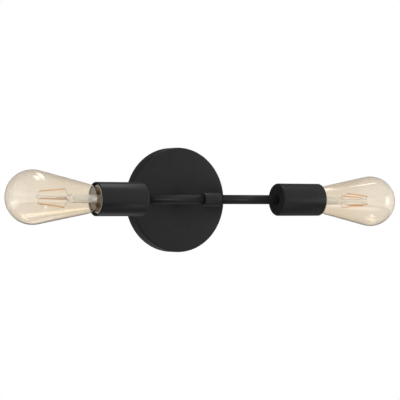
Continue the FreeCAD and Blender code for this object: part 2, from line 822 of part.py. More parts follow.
def make_earth_bond():
    """The earth screw on the crossbar, a lug there and one on the stem, and the lead between them."""
    stem_front = -(canopy_floor - washer_thickness)
    stem_lug, stem_end = ring_lug(stem_lug_diameter, thread_hole_radius, 0, stem_front)
    # The stem's lug is turned over, so that its barrel rises away from the canopy's face.
    stem_lug = stem_lug.mirror(V(0, stem_front + lug_thickness / 2, 0), V(0, 1, 0))
    screw_front = -crossbar_thickness - lug_thickness
    hole = ground_screw_diameter / 2 + screw_clearance
    screw_lug, screw_end = ring_lug(screw_lug_diameter, hole, -ground_screw_place, screw_front)
    save("ground_lugs", Part.makeCompound([stem_lug, screw_lug]))
    head = hex_nut(ground_screw_head, hole, 0, ground_screw_head_height)
    seat = crossbar_thickness + lug_thickness
    head.translate(V(seat, 0, 0))
    shank = cylinder(ground_screw_diameter / 2, 0, seat)
    core = cylinder(hole + screw_clearance, seat, seat + ground_screw_head_height)
    screw = facing_room(head.fuse([shank, core]).removeSplitter())
    screw.translate(V(-ground_screw_place, 0, 0))
    save("ground_screw", screw)
    top = 2 * stem_front + lug_thickness - barrel_place(stem_front)
    low = barrel_place(screw_front)
    inside = lug_barrel_length - overrun - seat_clearance
    points = [V(stem_end - lug_barrel_length + inside, top, 0), V(-ground_loop_place, top, 0),
              V(-ground_loop_place, low, 0), V(screw_end - lug_barrel_length + inside, low, 0)]
    bend = min(ground_bend_radius, abs(top - low) / 2 - screw_clearance)
    lead = tube_along(points, [0, bend, bend, 0], ground_wire_diameter, "ground_lead")
    save("ground_lead", lead)


def main():
    os.makedirs("parts", exist_ok=True)
    make_canopy()
    make_crossbar()
    make_canopy_screws()
    make_stem()
    make_tee()
    make_wire_connectors()
    make_earth_bond()
    for side in ("left", "right"):
        make_rod(side)
        make_cup(side)
        make_cup_fasteners(side)
        make_socket_bracket(side)
        make_socket_body(side)
        make_screw_shell(side)
        make_centre_contact(side)
        make_lamp_base(side)
        make_lamp_insulator(side)
        make_lamp_contact(side)
        make_lamp_cement(side)
        make_lamp_driver(side)
        make_lamp_glass(side)
        make_lamp_stem(side)
        make_lamp_light(side)
        make_lead(side, "line_lead", 1)
        make_lead(side, "neutral_lead", -1)


main()
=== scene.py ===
import bpy
import json
import math
from mathutils import Matrix, Vector


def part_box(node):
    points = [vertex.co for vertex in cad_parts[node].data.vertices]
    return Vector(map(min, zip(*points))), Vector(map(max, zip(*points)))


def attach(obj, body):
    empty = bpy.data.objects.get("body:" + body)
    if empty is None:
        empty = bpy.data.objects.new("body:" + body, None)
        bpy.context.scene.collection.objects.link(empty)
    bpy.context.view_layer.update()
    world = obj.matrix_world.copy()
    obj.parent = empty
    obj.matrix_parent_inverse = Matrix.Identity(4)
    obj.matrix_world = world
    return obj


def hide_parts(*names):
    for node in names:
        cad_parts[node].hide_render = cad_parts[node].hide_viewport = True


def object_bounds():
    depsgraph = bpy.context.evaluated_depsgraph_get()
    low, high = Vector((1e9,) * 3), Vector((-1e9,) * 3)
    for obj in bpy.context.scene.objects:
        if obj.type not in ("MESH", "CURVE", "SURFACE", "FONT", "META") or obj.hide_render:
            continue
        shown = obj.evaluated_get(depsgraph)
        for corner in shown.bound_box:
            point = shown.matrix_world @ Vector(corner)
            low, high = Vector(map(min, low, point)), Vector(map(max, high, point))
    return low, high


# Two-light wall sconce. The wall is the plane y = 0, the bar runs along x, the lamps point outwards.
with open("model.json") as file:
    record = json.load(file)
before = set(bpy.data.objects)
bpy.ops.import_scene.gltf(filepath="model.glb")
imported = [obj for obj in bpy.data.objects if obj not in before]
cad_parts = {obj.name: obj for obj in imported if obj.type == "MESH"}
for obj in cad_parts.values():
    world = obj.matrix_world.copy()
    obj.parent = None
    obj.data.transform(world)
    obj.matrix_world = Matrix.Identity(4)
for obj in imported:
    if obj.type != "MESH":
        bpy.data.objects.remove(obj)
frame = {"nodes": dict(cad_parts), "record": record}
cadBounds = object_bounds()
nodes = frame["nodes"]
print("stage: frame loaded,", len(nodes), "nodes")

mm = 0.001
teeLow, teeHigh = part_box("tee")
barAxis = Vector((0, (teeLow.y + teeHigh.y) / 2, 0))
sides = {"left": -1, "right": 1}


# Small helpers for modelling by operator

mergeGap = 0.002 * mm  # points closer than this are one


def pickNothing():
    bpy.ops.object.select_all(action="DESELECT")


def pickOnly(piece):
    pickNothing()
    piece.select_set(True)
    bpy.context.view_layer.objects.active = piece


def editStart(piece):
    pickOnly(piece)
    bpy.ops.object.mode_set(mode="EDIT")


def editEnd():
    bpy.ops.object.mode_set(mode="OBJECT")


def cleanMesh(piece):
    # joins doubled points, then turns every face outwards
    editStart(piece)
    bpy.ops.mesh.select_all(action="SELECT")
    bpy.ops.mesh.remove_doubles(threshold=mergeGap)
    bpy.ops.mesh.normals_make_consistent(inside=False)
    editEnd()


def smoothPiece(piece, degrees):
    # shades smooth over the edges that turn by less than this
    pickOnly(piece)
    bpy.ops.object.shade_smooth_by_angle(angle=math.radians(degrees))


def applyAll(piece):
    pickOnly(piece)
    for modifier in list(piece.modifiers):
        bpy.ops.object.modifier_apply(modifier=modifier.name)


def drawLine(name, places):
    # one vertex, extruded from place to place
    pickNothing()
    bpy.ops.mesh.primitive_plane_add(size=mm, location=(0, 0, 0))
    piece = bpy.context.object
    piece.name = name
    bpy.ops.object.mode_set(mode="EDIT")
    bpy.ops.mesh.select_all(action="SELECT")
    bpy.ops.mesh.merge(type="CENTER")
    bpy.ops.transform.translate(value=places[0])
    for before, after in zip(places, places[1:]):
        step = Vector(after) - Vector(before)
        bpy.ops.mesh.extrude_region_move(TRANSFORM_OT_translate={"value": step})
    editEnd()
    return piece


def spinLine(piece, axis, centre, steps):
    # turns the drawn line into a closed turned piece
    editStart(piece)
    bpy.ops.mesh.select_all(action="SELECT")
    bpy.ops.mesh.spin(steps=steps, angle=math.radians(360), center=centre, axis=axis)
    editEnd()
    cleanMesh(piece)


def turnedAlongBar(name, profile, steps):
    # profile: (place along x, radius), from the bar's axis round and back to it
    piece = drawLine(name, [(x, barAxis.y, radius) for x, radius in profile])
    spinLine(piece, (1, 0, 0), barAxis, steps)
    return piece


def turnedFromWall(name, profile, steps):
    # profile: (distance out of the wall, radius) about the y axis, a loop that is closed here
    places = [(0, -out, radius) for out, radius in profile]
    piece = drawLine(name, places + places[:1])
    spinLine(piece, (0, 1, 0), (0, 0, 0), steps)
    return piece


def roundedCorner(before, corner, after, radius, segments):
    # points of an arc that takes off a corner of a profile
    corner, before, after = Vector(corner), Vector(before), Vector(after)
    wayIn = (before - corner).normalized()
    wayOut = (after - corner).normalized()
    half = wayIn.angle(wayOut) / 2
    back = radius / math.tan(half)
    middle = corner + (wayIn + wayOut).normalized() * (radius / math.sin(half))
    start = corner + wayIn * back - middle
    end = corner + wayOut * back - middle
    sweep = start.angle(end)
    points = []
    for k in range(segments + 1):
        share = k / segments
        first = math.sin((1 - share) * sweep) / math.sin(sweep)
        second = math.sin(share * sweep) / math.sin(sweep)
        points.append(tuple(middle + start * first + end * second))
    return points


def roundedProfile(corners, segments):
    # corners: (along, radius, corner rounding), going round a closed profile
    points = []
    for k, (along, radius, rounding) in enumerate(corners):
        if rounding > 0:
            before = corners[k - 1][:2]
            after = corners[(k + 1) % len(corners)][:2]
            points += roundedCorner(before, (along, radius), after, rounding, segments)
        else:
            points.append((along, radius))
    return points


def onSide(side, profile):
    return [(sides[side] * along, radius) for along, radius in profile]


# Camera: 30 degrees to the left of the front, level with the bar

cameraSettings = {
    "azimuth": -29.97,
    "elevation": -0.39,
    "roll": -0.04,
    "distance": 1.9836,
    "focalPixels": 1688.7,
    "imageSize": 400,
    "barCentrePixel": (210.925, 199.454),
    "sensor": 36.0,
}


def makeCamera(settings):
    azimuth = math.radians(settings["azimuth"])
    elevation = math.radians(settings["elevation"])
    back = Vector((math.sin(azimuth) * math.cos(elevation), -math.cos(azimuth) * math.cos(elevation),
                   math.sin(elevation)))
    right = Vector((math.cos(azimuth), math.sin(azimuth), 0))
    right.rotate(Matrix.Rotation(math.radians(settings["roll"]), 3, back))
    up = back.cross(right)
    middle = settings["imageSize"] / 2
    u, v = settings["barCentrePixel"]
    across = (u - middle) / settings["focalPixels"]
    above = (middle - v) / settings["focalPixels"]
    place = barAxis - (right * across + up * above - back) * settings["distance"]
    data = bpy.data.cameras.new("camera")
    data.sensor_width = settings["sensor"]
    data.lens = settings["focalPixels"] * settings["sensor"] / settings["imageSize"]
    camera = bpy.data.objects.new("camera", data)
    bpy.context.scene.collection.objects.link(camera)
    turn = Matrix((right, up, back)).transposed().to_4x4()
    camera.matrix_world = Matrix.Translation(place) @ turn
    bpy.context.scene.camera = camera


makeCamera(cameraSettings)
print("stage: camera made")


# Small helpers for shader trees: each adds a node and gives back what comes out of it

def mathNode(tree, operation, first, second=0.0, clamp=False):
    # first and second are numbers or sockets
    node = tree.nodes.new("ShaderNodeMath")
    node.operation = operation
    node.use_clamp = clamp
    for socket, value in zip(node.inputs, (first, second)):
        if isinstance(value, (int, float)):
            socket.default_value = value
        else:
            tree.links.new(value, socket)
    return node.outputs[0]


def vectorNode(tree, operation, first, second, result="Vector"):
    node = tree.nodes.new("ShaderNodeVectorMath")
    node.operation = operation
    tree.links.new(first, node.inputs[0])
    node.inputs[1].default_value = second
    return node.outputs[result]


def splitNode(tree, vector):
    # the vector's three parts, under the names X, Y and Z
    split = tree.nodes.new("ShaderNodeSeparateXYZ")
    tree.links.new(vector, split.inputs[0])
    return split.outputs


def smoothStep(tree, value, between, levels=(0, 1)):
    # eases from the first level to the second while the value goes from the first to the second of between
    ease = tree.nodes.new("ShaderNodeMapRange")
    ease.interpolation_type = "SMOOTHSTEP"
    ease.inputs["From Min"].default_value, ease.inputs["From Max"].default_value = between
    ease.inputs["To Min"].default_value, ease.inputs["To Max"].default_value = levels
    tree.links.new(value, ease.inputs["Value"])
    return ease.outputs["Result"]


def mixColour(tree, factor, first, second):
    # first and second are colours or sockets
    mix = tree.nodes.new("ShaderNodeMix")
    mix.data_type = "RGBA"
    tree.links.new(factor, mix.inputs["Factor"])
    for socket, colour in ((mix.inputs["A"], first), (mix.inputs["B"], second)):
        if isinstance(colour, tuple):
            socket.default_value = (*colour, 1)
        else:
            tree.links.new(colour, socket)
    return mix.outputs["Result"]


def mixShaders(tree, factor, first, second):
    mix = tree.nodes.new("ShaderNodeMixShader")
    for socket, value in zip(mix.inputs, (factor, first, second)):
        tree.links.new(value, socket)
    return mix.outputs[0]


# Light: a long box, a smaller one and a patch overhead, a softbox at the right front, a panel at the left
# and two weak panels below. The last four don't show through the glass, only in reflections. The world is
# bright towards the front and the left, and dark behind.

worldSettings = {
    "colour": (0.96, 0.975, 1.0),
    "sides": {
        "front": {"towards": (0.50, -0.86, -0.02), "levels": (0.06, 0.86), "between": (-0.45, 0.80)},
        "left": {"towards": (-0.98, -0.10, 0.00), "levels": (0.0, 1.15), "between": (0.25, 1.0)},
    },
    "glossyShare": 0.04,
}

lampSettings = {
    "overheadBox": {
        "place": (0.33, 0.12, 1.02),
        "target": (0.33, 0.12, 0.0),
        "size": (0.42, 1.30),
        "soft": (0.3, 1.0),
        "level": 2.0,
    },
    "overheadFront": {
        "place": (0.02, -0.18, 1.02),
        "target": (0.02, -0.18, 0.0),
        "size": (0.38, 0.56),
        "soft": (0.4, 0.5),
        "level": 2.2,
    },
    "rightTopPatch": {
        "place": (0.57, -0.135, 1.02),
        "target": (0.57, -0.135, 0.0),
        "size": (0.12, 0.14),
        "soft": (0.3, 0.6),
        "level": 2.0,
    },
    "rightFrontBox": {
        "place": (1.05, -0.72, 0.00),
        "target": (0.10, -0.10, 0.0),
        "size": (0.80, 0.80),
        "soft": (1.0, 1.0),
        "level": 3.0,
        "throughGlass": False,
    },
    "leftPanel": {
        "place": (-0.95, 0.20, -0.30),
        "target": (-0.23, -0.10, 0.0),
        "size": (1.30, 0.60),
        "soft": (1.0, 1.0),
        "level": 1.6,
        "throughGlass": False,
    },
    "lowFrontPanel": {
        "place": (0.30, -0.69, -0.50),
        "target": (0.30, -0.69, 0.0),
        "along": (0.37, -0.93, 0.0),
        "size": (0.36, 1.00),
        "soft": (1.0, 1.0),
        "level": 1.8,
        "throughGlass": False,
    },
    "lowBackPanel": {
        "place": (0.03, 0.22, -0.48),
        "target": (0.03, 0.22, 0.0),
        "size": (0.40, 0.45),
        "soft": (0.3, 0.3),
        "level": 0.6,
        "throughGlass": False,
    },
}


def makeWorld(settings):
    # the camera and what glass lets through see plain white, and mirror rays a share of it
    world = bpy.data.worlds.new("studio")
    bpy.context.scene.world = world
    world.use_nodes = True
    tree = world.node_tree
    tree.nodes.clear()
    output = tree.nodes.new("ShaderNodeOutputWorld")
    path = tree.nodes.new("ShaderNodeLightPath")
    direction = tree.nodes.new("ShaderNodeTexCoord")
    levels = []
    for side in settings["sides"].values():
        towards = Vector(side["towards"]).normalized()
        facing = vectorNode(tree, "DOT_PRODUCT", direction.outputs["Generated"], towards, result="Value")
        levels.append(smoothStep(tree, facing, side["between"], side["levels"]))
    studio = tree.nodes.new("ShaderNodeBackground")
    studio.inputs["Color"].default_value = (*settings["colour"], 1)
    tree.links.new(mathNode(tree, "MAXIMUM", *levels), studio.inputs["Strength"])
    white = tree.nodes.new("ShaderNodeBackground")
    white.inputs["Color"].default_value = (1, 1, 1, 1)
    straight = mathNode(tree, "MAXIMUM", path.outputs["Is Camera Ray"], path.outputs["Is Transmission Ray"])
    glossy = mathNode(tree, "MULTIPLY", path.outputs["Is Glossy Ray"], settings["glossyShare"])
    seen = mathNode(tree, "MAXIMUM", straight, glossy)
    mixed = mixShaders(tree, seen, studio.outputs[0], white.outputs[0])
    tree.links.new(mixed, output.inputs["Surface"])


def softenLamp(data, shares):
    # the face of the lamp fades over these shares of the way from its edges to its middle
    middle = 0.5  # its coordinates run from 0 to 1
    data.use_nodes = True
    tree = data.node_tree
    place = tree.nodes.new("ShaderNodeNewGeometry")
    parts = splitNode(tree, vectorNode(tree, "SUBTRACT", place.outputs["Parametric"], (middle, middle, 0)))
    fades = []
    for way, share in zip("XY", shares):
        fromMiddle = mathNode(tree, "ABSOLUTE", parts[way])
        fades.append(smoothStep(tree, fromMiddle, (middle, middle * (1 - share))))
    tree.links.new(mathNode(tree, "MULTIPLY", *fades), tree.nodes["Emission"].inputs["Strength"])


powerPerArea = 4  # of a lamp whose face has a brightness of 1


def makeLamp(name, settings):
    # level is the brightness of the lamp's face; its power follows from its area
    width, height = settings["size"]
    data = bpy.data.lights.new(name, "AREA")
    data.shape = "RECTANGLE"
    data.size = width
    data.size_y = height
    data.energy = powerPerArea * width * height * settings["level"]
    lamp = bpy.data.objects.new(name, data)
    bpy.context.scene.collection.objects.link(lamp)
    place = Vector(settings["place"])
    towards = Vector(settings["target"]) - place
    lamp.location = place
    lamp.rotation_mode = "QUATERNION"
    lamp.rotation_quaternion = towards.to_track_quat("-Z", "Y")
    lamp.visible_camera = False
    lamp.visible_transmission = settings.get("throughGlass", True)
    if "along" in settings:
        # the lamp's height runs along this direction
        back = -towards.normalized()
        tall = Vector(settings["along"]).normalized()
        lamp.rotation_quaternion = Matrix((tall.cross(back), tall, back)).transposed().to_quaternion()
    softenLamp(data, settings["soft"])


makeWorld(worldSettings)
for lampName, lampValues in lampSettings.items():
    makeLamp(lampName, lampValues)
bpy.context.scene.view_settings.view_transform = "Standard"
print("stage: light made")


# Floor: a wide pale disc far below the fixture, which fades to the white background at its edge

floorSettings = {
    "drop": 0.50,
    "radius": 1.7,
    "sides": 96,
    "innerShare": 0.55,
    "fadeShare": 0.97,
    "colour": (0.86, 0.86, 0.86),
    "bounce": (0.38, 0.38, 0.38),
}


def makeFloor(settings):
    # colour is what the camera sees, and bounce is how much light the floor sends back
    pickNothing()
    radius = settings["radius"]
    level = cadBounds[0].z - settings["drop"]
    bpy.ops.mesh.primitive_circle_add(vertices=settings["sides"], radius=radius, fill_type="NGON",
                                      location=(0, 0, 0))
    floor = bpy.context.object
    floor.name = "floor"
    editStart(floor)
    bpy.ops.mesh.select_all(action="SELECT")
    bpy.ops.transform.translate(value=(0, 0, level))
    bpy.ops.mesh.inset(thickness=radius * (1 - settings["innerShare"]))
    editEnd()
    material = bpy.data.materials.new("palePaper")
    material.use_nodes = True
    tree = material.node_tree
    tree.nodes.clear()
    output = tree.nodes.new("ShaderNodeOutputMaterial")
    path = tree.nodes.new("ShaderNodeLightPath")
    paper = tree.nodes.new("ShaderNodeBsdfDiffuse")
    shade = mixColour(tree, path.outputs["Is Camera Ray"], settings["bounce"], settings["colour"])
    tree.links.new(shade, paper.inputs["Color"])
    place = tree.nodes.new("ShaderNodeTexCoord")
    fromMiddle = vectorNode(tree, "DISTANCE", place.outputs["Object"], (0, 0, level), result="Value")
    fade = smoothStep(tree, fromMiddle, (0, radius * settings["fadeShare"]))
    seenGlow = mathNode(tree, "MULTIPLY", fade, path.outputs["Is Camera Ray"])
    glow = tree.nodes.new("ShaderNodeEmission")
    mixed = mixShaders(tree, seenGlow, paper.outputs[0], glow.outputs[0])
    tree.links.new(mixed, output.inputs["Surface"])
    floor.data.materials.append(material)


makeFloor(floorSettings)
print("stage: floor made")


# Shared effects, each a node group that puts out masks and heights

def newGroup(name, inputs, outputs):
    group = bpy.data.node_groups.new(name, "ShaderNodeTree")
    for label, value in inputs:
        socket = group.interface.new_socket(name=label, in_out="INPUT", socket_type="NodeSocketFloat")
        socket.default_value = value
    for label in outputs:
        group.interface.new_socket(name=label, in_out="OUTPUT", socket_type="NodeSocketFloat")
    start = group.nodes.new("NodeGroupInput")
    end = group.nodes.new("NodeGroupOutput")
    return group, start, end


def noiseNode(tree, scale, detail):
    place = tree.nodes.new("ShaderNodeTexCoord")
    noise = tree.nodes.new("ShaderNodeTexNoise")
    noise.inputs["Detail"].default_value = detail
    tree.links.new(scale, noise.inputs["Scale"])
    tree.links.new(place.outputs["Object"], noise.inputs["Vector"])
    return noise.outputs["Fac"]


def makeGrain():
    # fine grain over broad blotches; scales are in cycles per metre
    inputs = [("Fine Scale", 2200), ("Broad Scale", 90), ("Broad Share", 0.4)]
    group, start, end = newGroup("surfaceGrain", inputs, ["Mask", "Height"])
    fine = noiseNode(group, start.outputs["Fine Scale"], detail=2)
    broad = noiseNode(group, start.outputs["Broad Scale"], detail=3)
    weighted = mathNode(group, "MULTIPLY", broad, start.outputs["Broad Share"])
    rest = mathNode(group, "SUBTRACT", 1.0, start.outputs["Broad Share"])
    fineShare = mathNode(group, "MULTIPLY", fine, rest)
    group.links.new(mathNode(group, "ADD", weighted, fineShare), end.inputs["Mask"])
    group.links.new(fine, end.inputs["Height"])
    return group


def makeEdgeWear():
    # light where an edge stands out, broken up by noise
    inputs = [("Threshold", 0.53), ("Sharpness", 12.0), ("Noise Scale", 400)]
    group, start, end = newGroup("rubbedEdges", inputs, ["Mask"])
    geometry = group.nodes.new("ShaderNodeNewGeometry")
    raised = mathNode(group, "SUBTRACT", geometry.outputs["Pointiness"], start.outputs["Threshold"])
    sharp = mathNode(group, "MULTIPLY", raised, start.outputs["Sharpness"], clamp=True)
    noise = noiseNode(group, start.outputs["Noise Scale"], detail=4)
    group.links.new(mathNode(group, "MULTIPLY", sharp, noise, clamp=True), end.inputs["Mask"])
    return group


def makeDust(steepness=3.0):
    # settles on what faces up, and the steeper this is, the less on what leans
    group, start, end = newGroup("settledDust", [("Noise Scale", 160)], ["Mask"])
    geometry = group.nodes.new("ShaderNodeNewGeometry")
    upward = splitNode(group, geometry.outputs["Normal"])["Z"]
    facingUp = mathNode(group, "POWER", mathNode(group, "MAXIMUM", upward, 0.0), steepness)
    noise = noiseNode(group, start.outputs["Noise Scale"], detail=5)
    group.links.new(mathNode(group, "MULTIPLY", facingUp, noise, clamp=True), end.inputs["Mask"])
    return group


grainGroup = makeGrain()
wearGroup = makeEdgeWear()
dustGroup = makeDust()


# Finishes, one dictionary of values each

noiseMiddle = (0.3, 0.7)  # nearly all of a noise lies between these


def newFinish(name, colour, roughness, metallic=0.0):
    material = bpy.data.materials.new(name)
    material.use_nodes = True
    material.diffuse_color = (*colour, 1)
    tree = material.node_tree
    shader = tree.nodes["Principled BSDF"]
    shader.inputs["Base Color"].default_value = (*colour, 1)
    shader.inputs["Roughness"].default_value = roughness
    shader.inputs["Metallic"].default_value = metallic
    return material, tree, shader


def useGroup(tree, group, values):
    node = tree.nodes.new("ShaderNodeGroup")
    node.node_tree = group
    for label, value in values.items():
        node.inputs[label].default_value = value
    return node


def mixShare(tree, mask, share, first, second):
    # the second colour comes in by a share of the mask
    return mixColour(tree, mathNode(tree, "MULTIPLY", mask, share), first, second)


def spread(tree, value, low, high):
    # takes the middle of a noise to a range of values
    rangeNode = tree.nodes.new("ShaderNodeMapRange")
    rangeNode.inputs["From Min"].default_value, rangeNode.inputs["From Max"].default_value = noiseMiddle
    rangeNode.inputs["To Min"].default_value = low
    rangeNode.inputs["To Max"].default_value = high
    tree.links.new(value, rangeNode.inputs["Value"])
    return rangeNode.outputs["Result"]


def mottle(tree, grain, first, second):
    # two colours, by the grain
    return mixColour(tree, spread(tree, grain.outputs["Mask"], 0.0, 1.0), first, second)


def addBump(tree, shader, height, strength, distance):
    bump = tree.nodes.new("ShaderNodeBump")
    bump.inputs["Strength"].default_value = strength
    bump.inputs["Distance"].default_value = distance
    tree.links.new(height, bump.inputs["Height"])
    tree.links.new(bump.outputs["Normal"], shader.inputs["Normal"])


def roughen(tree, shader, grain, settings):
    # uneven roughness and a fine bump, both by the grain
    tree.links.new(spread(tree, grain.outputs["Mask"], *settings["roughness"]), shader.inputs["Roughness"])
    addBump(tree, shader, grain.outputs["Height"], settings["bump"], settings["bumpDepth"])


blackPaint = {
    "name": "mattBlackPaint",
    "colour": (0.0160, 0.0160, 0.0163),
    "lighter": (0.0205, 0.0205, 0.0209),
    "worn": (0.045, 0.044, 0.043),
    "wornShare": 0.5,
    "dust": (0.050, 0.049, 0.047),
    "dustShare": 0.10,
    "roughness": (0.26, 0.33),
    "specular": 0.20,
    "bump": 0.22,
    "bumpDepth": 0.03 * mm,
    "grain": {"Fine Scale": 2300.0, "Broad Scale": 70.0, "Broad Share": 0.55},
    "edges": {"Threshold": 0.54, "Sharpness": 7.0, "Noise Scale": 500.0},
    "settling": {"Noise Scale": 240.0},
}


def makeBlackPaint(settings):
    # powder coat: fine pebble, slightly rubbed edges, a trace of dust on top
    material, tree, shader = newFinish(settings["name"], settings["colour"], settings["roughness"][0])
    shader.inputs["Specular IOR Level"].default_value = settings["specular"]
    grain = useGroup(tree, grainGroup, settings["grain"])
    wear = useGroup(tree, wearGroup, settings["edges"])
    dust = useGroup(tree, dustGroup, settings["settling"])
    body = mottle(tree, grain, settings["colour"], settings["lighter"])
    rubbed = mixShare(tree, wear.outputs["Mask"], settings["wornShare"], body, settings["worn"])
    dusty = mixShare(tree, dust.outputs["Mask"], settings["dustShare"], rubbed, settings["dust"])
    tree.links.new(dusty, shader.inputs["Base Color"])
    roughen(tree, shader, grain, settings)
    return material


metalShared = {
    "wornShare": 0.5,
    "wornGain": 1.15,
    "bump": 0.12,
    "bumpDepth": 0.02 * mm,
    "blotches": {"Broad Scale": 180.0, "Broad Share": 0.6},
    "edges": {"Threshold": 0.53, "Sharpness": 8.0, "Noise Scale": 700.0},
}

metals = {
    "zinc_steel": {"name": "zincPlate", "colour": (0.58, 0.58, 0.56), "darker": (0.44, 0.45, 0.43),
                   "roughness": (0.28, 0.42), "fineScale": 1400.0},
    "lug_copper": {"name": "tinnedCopper", "colour": (0.70, 0.58, 0.47), "darker": (0.55, 0.44, 0.35),
                   "roughness": (0.25, 0.40), "fineScale": 1800.0},
    "ground_green": {"name": "greenSteel", "colour": (0.07, 0.30, 0.12), "darker": (0.04, 0.20, 0.08),
                     "roughness": (0.30, 0.42), "fineScale": 1600.0},
    "shell_brass": {"name": "stampedBrass", "colour": (0.78, 0.56, 0.24), "darker": (0.62, 0.42, 0.16),
                    "roughness": (0.22, 0.36), "fineScale": 1500.0},
    "plated_base": {"name": "nickelPlate", "colour": (0.80, 0.75, 0.64), "darker": (0.66, 0.60, 0.50),
                    "roughness": (0.20, 0.34), "fineScale": 1500.0},
    "tinned_brass": {"name": "solderTin", "colour": (0.60, 0.59, 0.57), "darker": (0.46, 0.45, 0.43),
                     "roughness": (0.30, 0.50), "fineScale": 900.0, "bump": 0.3},
    "filament_metal": {"name": "bareWire", "colour": (0.78, 0.76, 0.72), "darker": (0.62, 0.60, 0.56),
                       "roughness": (0.30, 0.45), "fineScale": 2000.0},
}


def makeMetal(settings):
    # plated, tinned or stamped metal: fine grain, uneven tarnish, edges rubbed bright
    material, tree, shader = newFinish(settings["name"], settings["colour"], settings["roughness"][0],
                                       metallic=1.0)
    grain = useGroup(tree, grainGroup, {**settings["blotches"], "Fine Scale": settings["fineScale"]})
    wear = useGroup(tree, wearGroup, settings["edges"])
    body = mottle(tree, grain, settings["darker"], settings["colour"])
    bright = tuple(min(1.0, settings["wornGain"] * channel) for channel in settings["colour"])
    rubbed = mixShare(tree, wear.outputs["Mask"], settings["wornShare"], body, bright)
    tree.links.new(rubbed, shader.inputs["Base Color"])
    roughen(tree, shader, grain, settings)
    return material


coatShared = {
    "fineScale": 1500.0,
    "dustShare": 0.12,
    "dustKeeps": 0.6,
    "dustAdds": 0.2,
    "specular": 0.5,
    "bump": 0.12,
    "bumpDepth": 0.03 * mm,
    "blotches": {"Broad Scale": 120.0, "Broad Share": 0.5},
    "settling": {"Noise Scale": 300.0},
}

coats = {
    "connector_plastic": {"name": "orangePlastic", "colour": (0.72, 0.21, 0.02),
                          "lighter": (0.82, 0.27, 0.04), "roughness": (0.34, 0.46)},
    "ground_insulation": {"name": "greenInsulation", "colour": (0.02, 0.22, 0.05),
                          "lighter": (0.03, 0.28, 0.07), "roughness": (0.40, 0.52)},
    "porcelain": {"name": "glazedPorcelain", "colour": (0.72, 0.68, 0.60), "lighter": (0.79, 0.76, 0.69),
                  "roughness": (0.12, 0.22), "fineScale": 600.0, "bump": 0.06},
    "black_insulation": {"name": "blackInsulation", "colour": (0.018, 0.018, 0.018),
                         "lighter": (0.03, 0.03, 0.03), "roughness": (0.38, 0.50)},
    "white_insulation": {"name": "whiteInsulation", "colour": (0.66, 0.65, 0.61),
                         "lighter": (0.74, 0.73, 0.70), "roughness": (0.38, 0.50)},
    "black_glass": {"name": "blackGlass", "colour": (0.012, 0.012, 0.014), "lighter": (0.02, 0.02, 0.022),
                    "roughness": (0.08, 0.16), "fineScale": 900.0, "bump": 0.05},
    # the cement's cream is partly its own colour and partly painted light: it is made paler to brighten the
    # shaded inside of the socket
    "cement": {"name": "basingCement", "colour": (0.80, 0.66, 0.42), "lighter": (0.88, 0.76, 0.54),
               "roughness": (0.60, 0.80), "fineScale": 1100.0, "bump": 0.4, "specular": 0.3},
}


def makeCoated(settings):
    # plastic, ceramic, opaque glass, cement or rubbery insulation, with a trace of dust on top
    material, tree, shader = newFinish(settings["name"], settings["colour"], settings["roughness"][0])
    shader.inputs["Specular IOR Level"].default_value = settings["specular"]
    grain = useGroup(tree, grainGroup, {**settings["blotches"], "Fine Scale": settings["fineScale"]})
    dust = useGroup(tree, dustGroup, settings["settling"])
    body = mottle(tree, grain, settings["colour"], settings["lighter"])
    paler = tuple(settings["dustKeeps"] * channel + settings["dustAdds"] for channel in settings["colour"])
    dusty = mixShare(tree, dust.outputs["Mask"], settings["dustShare"], body, paler)
    tree.links.new(dusty, shader.inputs["Base Color"])
    roughen(tree, shader, grain, settings)
    return material


glassWave = {"Fine Scale": 120.0, "Broad Scale": 45.0, "Broad Share": 0.7}

amberGlassSettings = {
    "name": "amberGlass",
    "tint": (0.970, 0.930, 0.872),
    "neckTint": (0.938, 0.874, 0.783),
    "coatFade": (180.0 * mm, 262.0 * mm),
    "absorb": (0.66, 0.44, 0.02),
    "density": 90.0,
    "waviness": 0.02 * mm,
    "bending": 1.75,
    "clear": 1.0,
    "roughness": 0.0,
}

clearGlassSettings = {
    "name": "clearGlass",
    "tint": (0.97, 0.985, 1.0),
    "waviness": 0.01 * mm,
    "bending": 1.2,
    "clear": 0.75,
    "roughness": 0.08,
}


def deepenTowardNeck(tree, shader, settings):
    # the glass's tint is a little deeper toward the lamp's neck than on the globe
    place = tree.nodes.new("ShaderNodeTexCoord")
    out = mathNode(tree, "ABSOLUTE", splitNode(tree, place.outputs["Object"])["X"])
    fade = smoothStep(tree, out, settings["coatFade"])
    tint = mixColour(tree, fade, settings["neckTint"], settings["tint"])
    tree.links.new(tint, shader.inputs["Base Color"])


def thickenColour(tree, settings):
    # the wall is a closed shell, so its colour deepens where it is seen edge on
    volume = tree.nodes.new("ShaderNodeVolumeAbsorption")
    volume.inputs["Color"].default_value = (*settings["absorb"], 1)
    volume.inputs["Density"].default_value = settings["density"]
    tree.links.new(volume.outputs[0], tree.nodes["Material Output"].inputs["Volume"])


def makeGlass(settings):
    material, tree, shader = newFinish(settings["name"], settings["tint"], settings["roughness"])
    shader.inputs["Transmission Weight"].default_value = settings["clear"]
    shader.inputs["IOR"].default_value = settings["bending"]
    wave = useGroup(tree, grainGroup, glassWave)
    addBump(tree, shader, wave.outputs["Mask"], strength=1.0, distance=settings["waviness"])
    if "coatFade" in settings:
        deepenTowardNeck(tree, shader, settings)
    if "density" in settings:
        thickenColour(tree, settings)
    # light on its way to a surface inside passes both faces of the wall, so each takes the tint's root
    faceTint = [math.sqrt(share) for share in settings["tint"]]
    path = tree.nodes.new("ShaderNodeLightPath")
    passing = tree.nodes.new("ShaderNodeBsdfTransparent")
    passing.inputs["Color"].default_value = (*faceTint, 1)
    mixed = mixShaders(tree, path.outputs["Is Shadow Ray"], shader.outputs[0], passing.outputs[0])
    tree.links.new(mixed, tree.nodes["Material Output"].inputs["Surface"])
    return material


